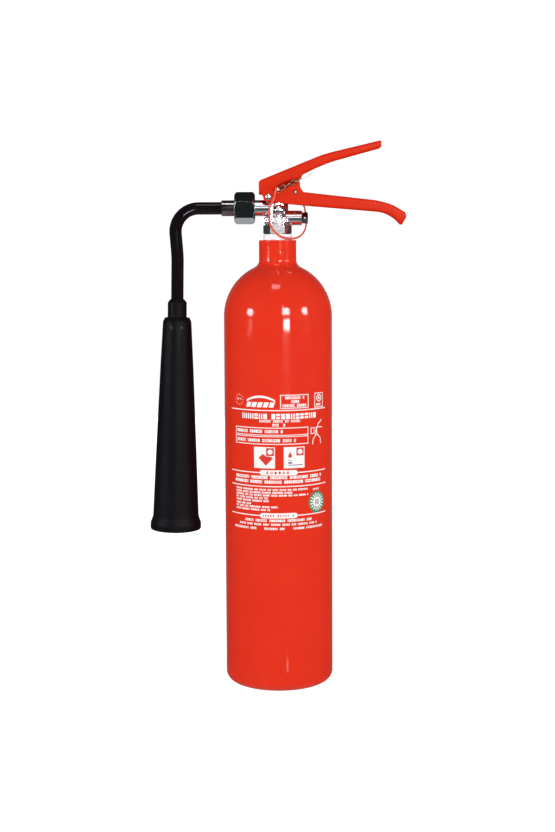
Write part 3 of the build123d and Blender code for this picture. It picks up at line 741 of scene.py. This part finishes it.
def label_squares(white, red, dark, over):
    """Two white squares, each with a plain sign and a red block in its corner."""
    for left in (-24.8, 5.0):
        right = left + 21.2
        white.bar(left, right, 223.4, 244.2)
        red.bar(right - 8.6, right - 0.9, 235.6, 243.3)
        over.disc(right - 4.75, 239.45, 2.5, 24)
    red.shape([(-20.0, 233.6), (-12.6, 226.0), (-5.2, 233.6), (-9.0, 235.0), (-12.6, 235.0),
               (-15.4, 237.6)])
    red.shape([(9.0, 234.6), (11.2, 233.6), (13.4, 234.8), (12.6, 237.2), (11.2, 239.6),
               (10.0, 237.2)])
    dark.bar(9.4, 13.2, 228.0, 229.4)
    dark.bar(9.4, 24.2, 226.2, 226.8)
    dark.bar(9.4, 13.0, 231.0, 231.5)


def label_text(white, red):
    """Long rules, their two title pills and all the blocks of small writing."""
    for z in RULES:
        pill = z in (RULES[1], RULES[3])
        if not pill:
            white.bar(-RULE_HALF, RULE_HALF, z - 0.5, z + 0.5)
            continue
        white.bar(-RULE_HALF, -PILL_HALF, z - 0.5, z + 0.5)
        white.bar(PILL_HALF, RULE_HALF, z - 0.5, z + 0.5)
        white.pill(-PILL_HALF - 0.6, PILL_HALF + 0.6, z - 2.6, z + 2.6)
    red.blocks(-12.0, 12.0, RULES[1], 2.6, 31, (9, 9), slim=0.8, fill=0.5)
    red.blocks(-16.0, 16.0, RULES[3], 2.0, 32, (5, 8), slim=0.6, fill=0.5)
    white.blocks(-47.5, 47.6, 214.4, 3.0, 33, (4, 9), fill=0.86)
    white.blocks(-48.5, 48.4, 210.0, 3.0, 34, (4, 9), fill=0.86)
    ends = (30, 13.5, 30.5, -10.5, -9.8, -28.5, -1.0, -8.5)
    heights = (202.2, 199.4, 196.7, 193.9, 191.1, 187.9, 185.2, 182.3)
    for index, (z, end) in enumerate(zip(heights, ends)):
        white.blocks(-47.3, end, z, 1.8, 40 + index, (3, 9), fill=0.84)
    white.blocks(36.0, 45.5, 201.0, 1.8, 50, (5, 6), fill=0.78)
    white.blocks(-35.5, 34.5, 171.9, 2.5, 51, (4, 9), fill=0.78)
    white.blocks(-42.5, 41.0, 168.0, 2.0, 52, (3, 9), fill=0.78)
    for left, right, seed in ((-50.0, -22.5, 53), (-14.5, 6.0, 54), (14.0, 49.0, 55)):
        white.blocks(left, right, 163.9, 2.2, seed, (7, 12), fill=0.78)


def label_seal(white, green):
    """Round green seal with pale rays round a pale middle. Returns its centre."""
    middle = (41.4, 188.0)
    teeth = 16
    rim = []
    for k in range(teeth * 4):
        radius = 10.6 + 0.35 * math.cos(math.pi * k / 2)
        angle = 2 * math.pi * k / (teeth * 4)
        rim.append((middle[0] + radius * math.cos(angle), middle[1] + radius * math.sin(angle)))
    green.shape(rim)
    for k in range(teeth):
        angle = 2 * math.pi * (k + 0.5) / teeth
        out = Vector((math.cos(angle), math.sin(angle)))
        side = Vector((-out.y, out.x)) * 0.7
        near = Vector(middle) + out * 5.6
        far = Vector(middle) + out * 8.9
        white.shape([(near - side)[:], (far - side)[:], (far + side)[:], (near + side)[:]])
    white.disc(*middle, 5.2)
    return middle


def label():
    """The printed label: generic blocks and signs in white, with dark, red and green overprint.

    Each ink stands out a little more than the one it is printed on.
    """
    white, red, dark, green, over = Art(), Art(), Art(), Art(), Art()
    label_heading(white)
    label_steps(white)
    label_squares(white, red, dark, over)
    label_text(white, red)
    middle = label_seal(over, green)
    for side in (-1.4, 1.4):
        dark.bar(middle[0] + side - 0.6, middle[0] + side + 0.6, middle[1] - 2.6, middle[1] + 2.6)
    white.wrapped("label_white", WHITE_INK, 0.03, ["label_sheet"])
    green.wrapped("label_green", GREEN_INK, 0.03)
    over.wrapped("label_over_white", WHITE_INK, 0.09)
    red.wrapped("label_red", RED_INK, 0.05)
    dark.wrapped("label_dark", DARK_INK, 0.12)


# ---- stage, lights, camera ----------------------------------------------------------------------
def studio_cove():
    """Pale round floor that curves up into a wall all round."""
    radius, bend, height = 5.0, 1.5, 6.0
    profile = [(0, 0), (1.0, 0), (2.0, 0)]
    profile += arc(radius - bend, bend, bend, -90, 0, 12)
    profile += [(radius, height)]
    bm = bmesh.new()
    segments = 96
    rings = []
    for r, z in profile:
        rings.append([bm.verts.new((r * math.cos(2 * math.pi * k / segments),
                                    r * math.sin(2 * math.pi * k / segments), z))
                      for k in range(segments if r else 1)])
    for low, high in zip(rings, rings[1:]):
        for k in range(segments):
            n = (k + 1) % segments
            corners = [low[k % len(low)], low[n % len(low)], high[n], high[k]]
            bm.faces.new(list(dict.fromkeys(corners)))
    mesh = bpy.data.meshes.new("studio_cove")
    bm.to_mesh(mesh)
    bm.free()
    mesh.shade_smooth()
    finish = Finish("studio_white", Roughness=0.9, Specular_IOR_Level=0.0, Emission_Strength=0.97)
    finish.shader.inputs["Emission Color"].default_value = (1, 1, 1, 1)
    finish.colours(finish.spread(finish.noise(900, 2), 0.3, 0.7), (0.40, 0.40, 0.40), (0.39, 0.39, 0.39))
    mesh.materials.append(finish.material)
    cove = bpy.data.objects.new("studio_cove", mesh)
    bpy.context.scene.collection.objects.link(cove)
    for ray in ("visible_glossy", "visible_diffuse", "visible_shadow"):
        setattr(cove, ray, False)


def studio_world():
    """Soft surroundings: a pale floor, a little light behind, dark in front, above and at the sides."""
    world = bpy.data.worlds.new("studio_world")
    world.use_nodes = True
    nodes = world.node_tree.nodes
    links = world.node_tree.links
    direction = nodes.new("ShaderNodeTexCoord").outputs["Generated"]

    def glow(axis, stops):
        """Brightness that depends on how close a direction is to an axis, -1 to 1."""
        towards = nodes.new("ShaderNodeVectorMath")
        towards.operation = "DOT_PRODUCT"
        towards.inputs[1].default_value = Vector(axis).normalized()
        links.new(direction, towards.inputs[0])
        share = nodes.new("ShaderNodeMapRange")
        share.inputs["From Min"].default_value = -1.0
        links.new(towards.outputs["Value"], share.inputs["Value"])
        ramp = nodes.new("ShaderNodeValToRGB")
        links.new(share.outputs["Result"], ramp.inputs["Fac"])
        elements = ramp.color_ramp.elements
        elements[0].position = stops[0][0]
        elements[1].position = stops[-1][0]
        for position, _ in stops[1:-1]:
            elements.new(position)
        for element, (_, grey) in zip(elements, stops):
            element.color = (grey, grey, grey, 1)
        return ramp.outputs["Color"]

    behind = glow((0.0, 1.0, 0.0), [(0.0, 0.05), (0.85, 0.05), (1.0, 0.20)])
    floor = glow((0.0, 0.0, -1.0), [(0.0, 0.0), (0.64, 0.0), (0.80, 0.12), (1.0, 0.5)])
    total = nodes.new("ShaderNodeVectorMath")
    links.new(behind, total.inputs[0])
    links.new(floor, total.inputs[1])
    links.new(total.outputs["Vector"], nodes["Background"].inputs["Color"])
    nodes["Background"].inputs["Strength"].default_value = 1.0
    bpy.context.scene.world = world


def area_light(name, turn, rise, size, brightness, glossy=False, only=(), without=()):
    """Softbox seen from the shoulder at turn degrees right of the front and rise degrees up.

    size is its width and height in degrees. A glossy one shows only as a highlight, the others
    only light what they face. A light can be kept to some pieces, or off some.
    """
    distance = 2.0
    shoulder = Vector((0, 0, 0.375))
    wide, high = (2 * distance * math.tan(math.radians(angle) / 2) for angle in size)
    data = bpy.data.lights.new(name, "AREA")
    data.shape = "RECTANGLE"
    data.size = wide
    data.size_y = high
    data.energy = brightness * math.pi * wide * high
    light = bpy.data.objects.new(name, data)
    turn, rise = math.radians(turn), math.radians(rise)
    away = Vector((math.sin(turn) * math.cos(rise), -math.cos(turn) * math.cos(rise), math.sin(rise)))
    light.location = shoulder + away * distance
    light.rotation_euler = away.to_track_quat("Z", "Y").to_euler()
    light.visible_glossy = glossy
    light.visible_diffuse = not glossy
    bpy.context.scene.collection.objects.link(light)
    if only or without:
        linked = bpy.data.collections.new(name + "_linked")
        light.light_linking.receiver_collection = linked
        for piece_name in (*only, *without):
            linked.objects.link(bpy.data.objects[piece_name])
        for held in linked.collection_objects:
            held.light_linking.link_state = "INCLUDE" if only else "EXCLUDE"


def studio_lights():
    """Boxes whose highlights show on the enamel, glints kept to one metal each, and even fill light."""
    enamel = ["cylinder"]
    nut = ["coupling_nut"]
    bright = ["valve", "pivot_rivet", "pin_chain"]
    area_light("left_box", -61.0, 8.8, (12, 11.4), 40, glossy=True, without=["pipe"])
    area_light("front_box", 16.5, 12.2, (14, 14.6), 40, glossy=True)
    area_light("right_box", 58.8, 10.3, (12, 12), 40, glossy=True, without=["pipe"])
    area_light("top_box", -9.0, 67.0, (15, 10), 9, glossy=True)
    area_light("left_foot", -60.5, -3.4, (8, 1.8), 3.5, glossy=True, only=enamel)
    area_light("front_foot", 18.0, -2.9, (13, 1.8), 55, glossy=True, only=enamel)
    area_light("left_streak", -61.0, 1.2, (4, 2.4), 2.0, glossy=True, only=enamel)
    area_light("front_streak", 16.5, 1.2, (5, 2.4), 7, glossy=True, only=enamel)
    area_light("right_streak", 58.8, 1.2, (4, 2.4), 3, glossy=True, only=enamel)
    area_light("low_glint", 16.5, -26.2, (4, 1.4), 6, glossy=True, only=enamel)
    area_light("pipe_glint", 5.0, -18.0, (14, 4), 60, glossy=True, only=["pipe"])
    area_light("valve_front", 0.0, 11.0, (90, 18), 1.05, glossy=True, only=bright)
    area_light("valve_high", 0.0, 42.0, (80, 20), 1.2, glossy=True, only=bright)
    area_light("knurl_front", 0.0, 5.0, (70, 30), 1.25, glossy=True, only=["valve_knurl"])
    area_light("nut_left", -90.0, 0.0, (40, 50), 1.5, glossy=True, only=nut)
    area_light("nut_right", 90.0, 0.0, (40, 50), 2.5, glossy=True, only=nut)
    area_light("nut_floor", 180.0, -46.0, (60, 30), 1.1, glossy=True, only=nut)
    area_light("tape_fill", 0.0, 5.0, (80, 40), 1.2, only=["thread_tape"])
    area_light("fill_right", 66.0, 5.0, (50, 50), 2.8)
    area_light("fill_front", 8.0, 6.0, (50, 50), 1.55)
    area_light("fill_left", -60.0, 5.0, (50, 50), 2.9)
    area_light("fill_back", 175.0, 10.0, (60, 50), 2.5)
    area_light("fill_top", 0.0, 85.0, (60, 60), 0.65)
    area_light("fill_floor", 0.0, -60.0, (60, 50), 0.45)


def camera():
    """Level with the handle and looking slightly down."""
    data = bpy.data.cameras.new("camera")
    data.lens = 62.78
    data.sensor_width = 36.0
    data.shift_y = -0.0742
    data.clip_end = 50.0
    cam = bpy.data.objects.new("camera", data)
    tilt, roll = math.radians(85.3), math.radians(-0.29)
    look = Matrix.Rotation(tilt, 4, "X") @ Matrix.Rotation(roll, 4, "Z")
    cam.matrix_world = Matrix.Translation((-0.0006, -1.45, 0.4496)) @ look
    bpy.context.scene.collection.objects.link(cam)
    bpy.context.scene.camera = cam


def main():
    paint_kept_nodes()
    cylinder()
    horn()
    collar()
    pipe()
    thread_tape()
    knurl()
    seal_strap()
    soften_metal_parts()
    label()
    studio_cove()
    studio_world()
    studio_lights()
    camera()
    bpy.context.scene.view_settings.view_transform = "Standard"


main()
